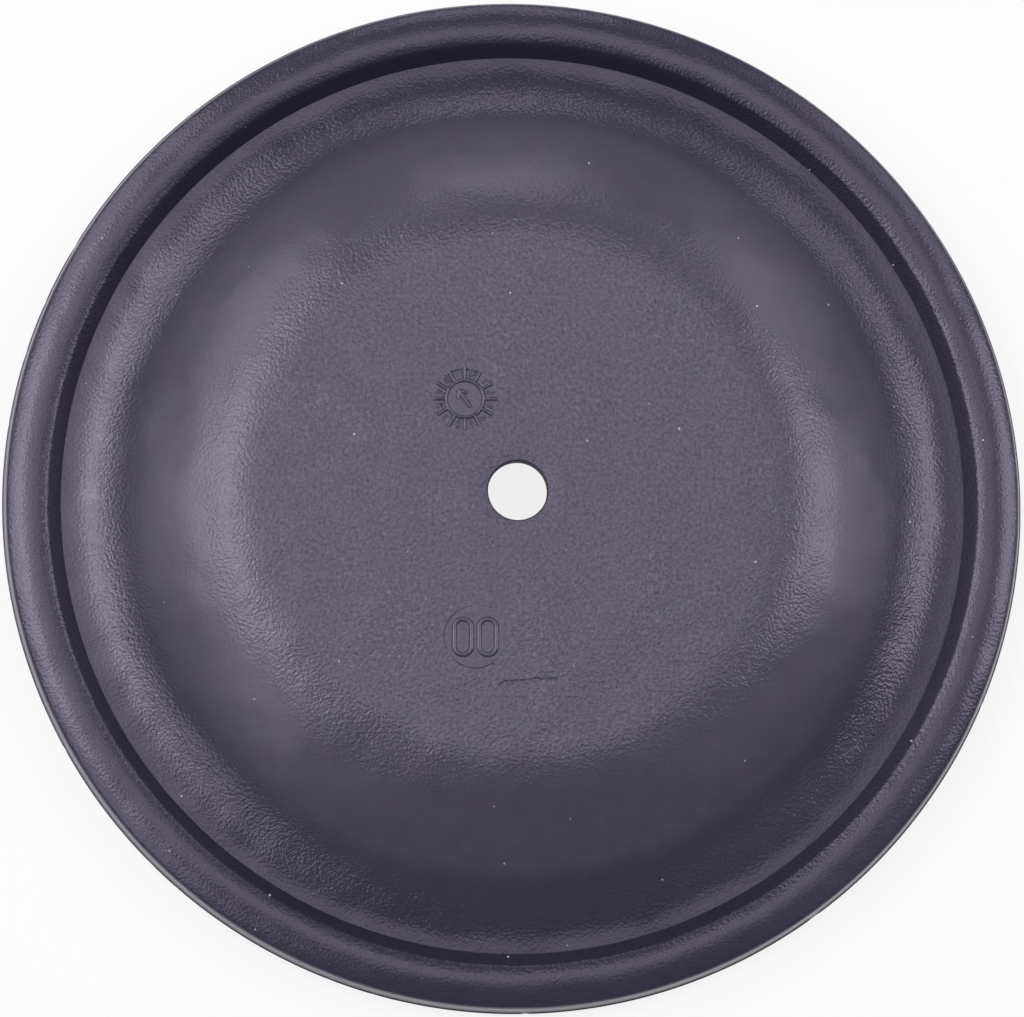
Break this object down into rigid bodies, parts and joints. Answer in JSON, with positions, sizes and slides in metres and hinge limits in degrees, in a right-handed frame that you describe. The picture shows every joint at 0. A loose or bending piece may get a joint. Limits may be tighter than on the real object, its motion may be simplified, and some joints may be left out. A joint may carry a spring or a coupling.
{
  "type": "pump diaphragm",
  "caption": "Domed round rubber diaphragm for an air-operated pump, with a flat crown, a stud hole and a round bead that the pump body clamps.",
  "frame": {"origin": "centre of the diaphragm in the plane that the bead lies on", "axes": "+Z along the stud hole, towards the crown; +X towards the right of the picture, +Y towards its top"},
  "size_m": [0.192, 0.192, 0.0204],
  "materials": {
    "rubber": "satin moulded rubber"
  },
  "bodies": {
    "root": {"diaphragm": "rubber"}
  },
  "joints": []
}
